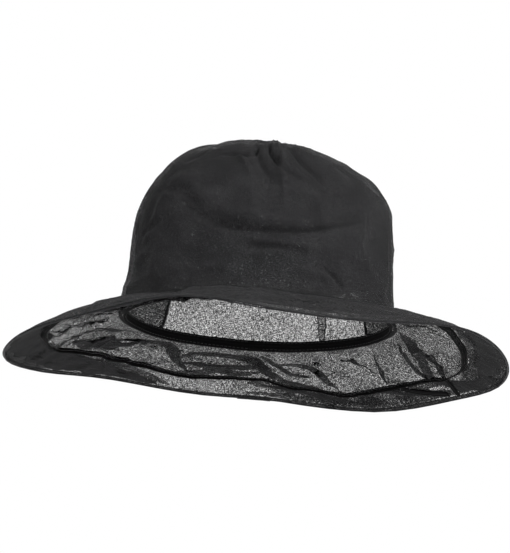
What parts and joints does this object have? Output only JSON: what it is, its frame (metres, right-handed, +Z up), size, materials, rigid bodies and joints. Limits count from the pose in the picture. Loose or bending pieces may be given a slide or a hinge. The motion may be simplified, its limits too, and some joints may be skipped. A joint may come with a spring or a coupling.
{
  "type": "beekeeping veil",
  "caption": "Soft black voile hat with a gathered round crown, elastic headband, wired drooping brim and a net veil tucked up under the brim on an elastic hem.",
  "frame": {"origin": "centre of the head opening, at mid height of the elastic headband", "axes": "+Z up through the top of the crown, -Y towards the front, over the wearer's face, +X towards the wearer's left"},
  "size_m": [0.352, 0.352, 0.1642],
  "materials": {
    "black_voile": "sheer open plain weave, crumpled",
    "black_tape": "folded woven tape",
    "black_elastic": "matt knitted elastic",
    "spring_wire": "blued spring steel"
  },
  "bodies": {
    "hat": {"crown_shell": "black_voile", "crown_lining": "black_voile", "crown_top_gather": "black_voile", "crown_back_seam": "black_tape", "headband_elastic": "black_elastic", "headband_casing": "black_tape", "headband_overlap": "black_elastic", "brim_net": "black_voile", "brim_hoop_wire": "spring_wire", "hoop_joiner_sleeve": "spring_wire", "brim_edge_binding": "black_tape", "veil_seam_tape": "black_tape", "veil_net": "black_voile"},
    "veil_hem": {"veil_hem_elastic": "black_elastic", "veil_hem_casing": "black_voile", "hem_elastic_tail": "black_elastic"}
  },
  "joints": [
    {"name": "veil_drop", "type": "slide", "parent": "hat", "child": "veil_hem", "axis": [0, 0, -1], "range_m": [0, 0.07], "deforming": ["veil_net"]}
  ]
}
